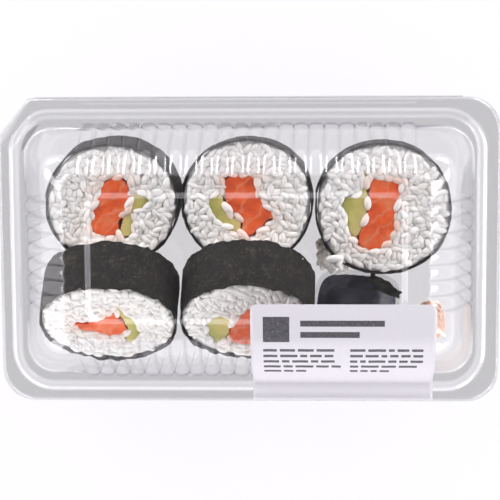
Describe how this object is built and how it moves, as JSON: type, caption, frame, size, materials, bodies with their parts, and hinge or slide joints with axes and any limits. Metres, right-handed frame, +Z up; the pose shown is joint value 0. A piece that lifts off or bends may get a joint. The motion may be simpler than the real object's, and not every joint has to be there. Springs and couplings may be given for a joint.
{
  "type": "takeaway sushi tray",
  "caption": "Clear hinged plastic pack with fluted walls, filled with thick sushi rolls, a soy sauce sachet and pickled ginger, with a plain paper label over its lid.",
  "frame": {"origin": "centre of the flat floor's underside, at the surface the pack stands on, under the middle of its length and width", "axes": "+X to the right along the front edge, which is the pack's length; +Y to the hinge at the back; +Z up"},
  "size_m": [0.165, 0.101, 0.0486],
  "materials": {
    "clear_plastic": "clear, thermoformed",
    "label_paper": "semi-gloss coated paper",
    "nori": "dry, fibrous",
    "rice": "moist, sticky grains",
    "salmon": "moist, cut",
    "avocado": "creamy, cut",
    "soy_sachet": "clear film over dark sauce",
    "pickled_ginger": "moist, thin slices"
  },
  "bodies": {
    "base": {"base_tray": "clear_plastic", "nori_back_left": "nori", "nori_back_middle": "nori", "nori_back_right": "nori", "nori_front_left": "nori", "nori_front_middle": "nori", "nori_flap": "nori", "rice_back_left": "rice", "rice_back_middle": "rice", "rice_back_right": "rice", "rice_front_left": "rice", "rice_front_middle": "rice", "salmon_back_left": "salmon", "salmon_back_middle": "salmon", "salmon_back_right": "salmon", "salmon_front_left": "salmon", "salmon_front_middle": "salmon", "avocado_back_left": "avocado", "avocado_back_middle": "avocado", "avocado_back_right": "avocado", "avocado_front_left": "avocado", "avocado_front_middle": "avocado", "soy_sachet": "soy_sachet", "pickled_ginger": "pickled_ginger"},
    "lid": {"lid": "clear_plastic", "label": "label_paper"}
  },
  "joints": [
    {"name": "lid_hinge", "type": "hinge", "parent": "base", "child": "lid", "pos_m": [0, 0.05065, 0.02615], "axis": [-1, 0, 0], "range_deg": [0, 180]}
  ]
}
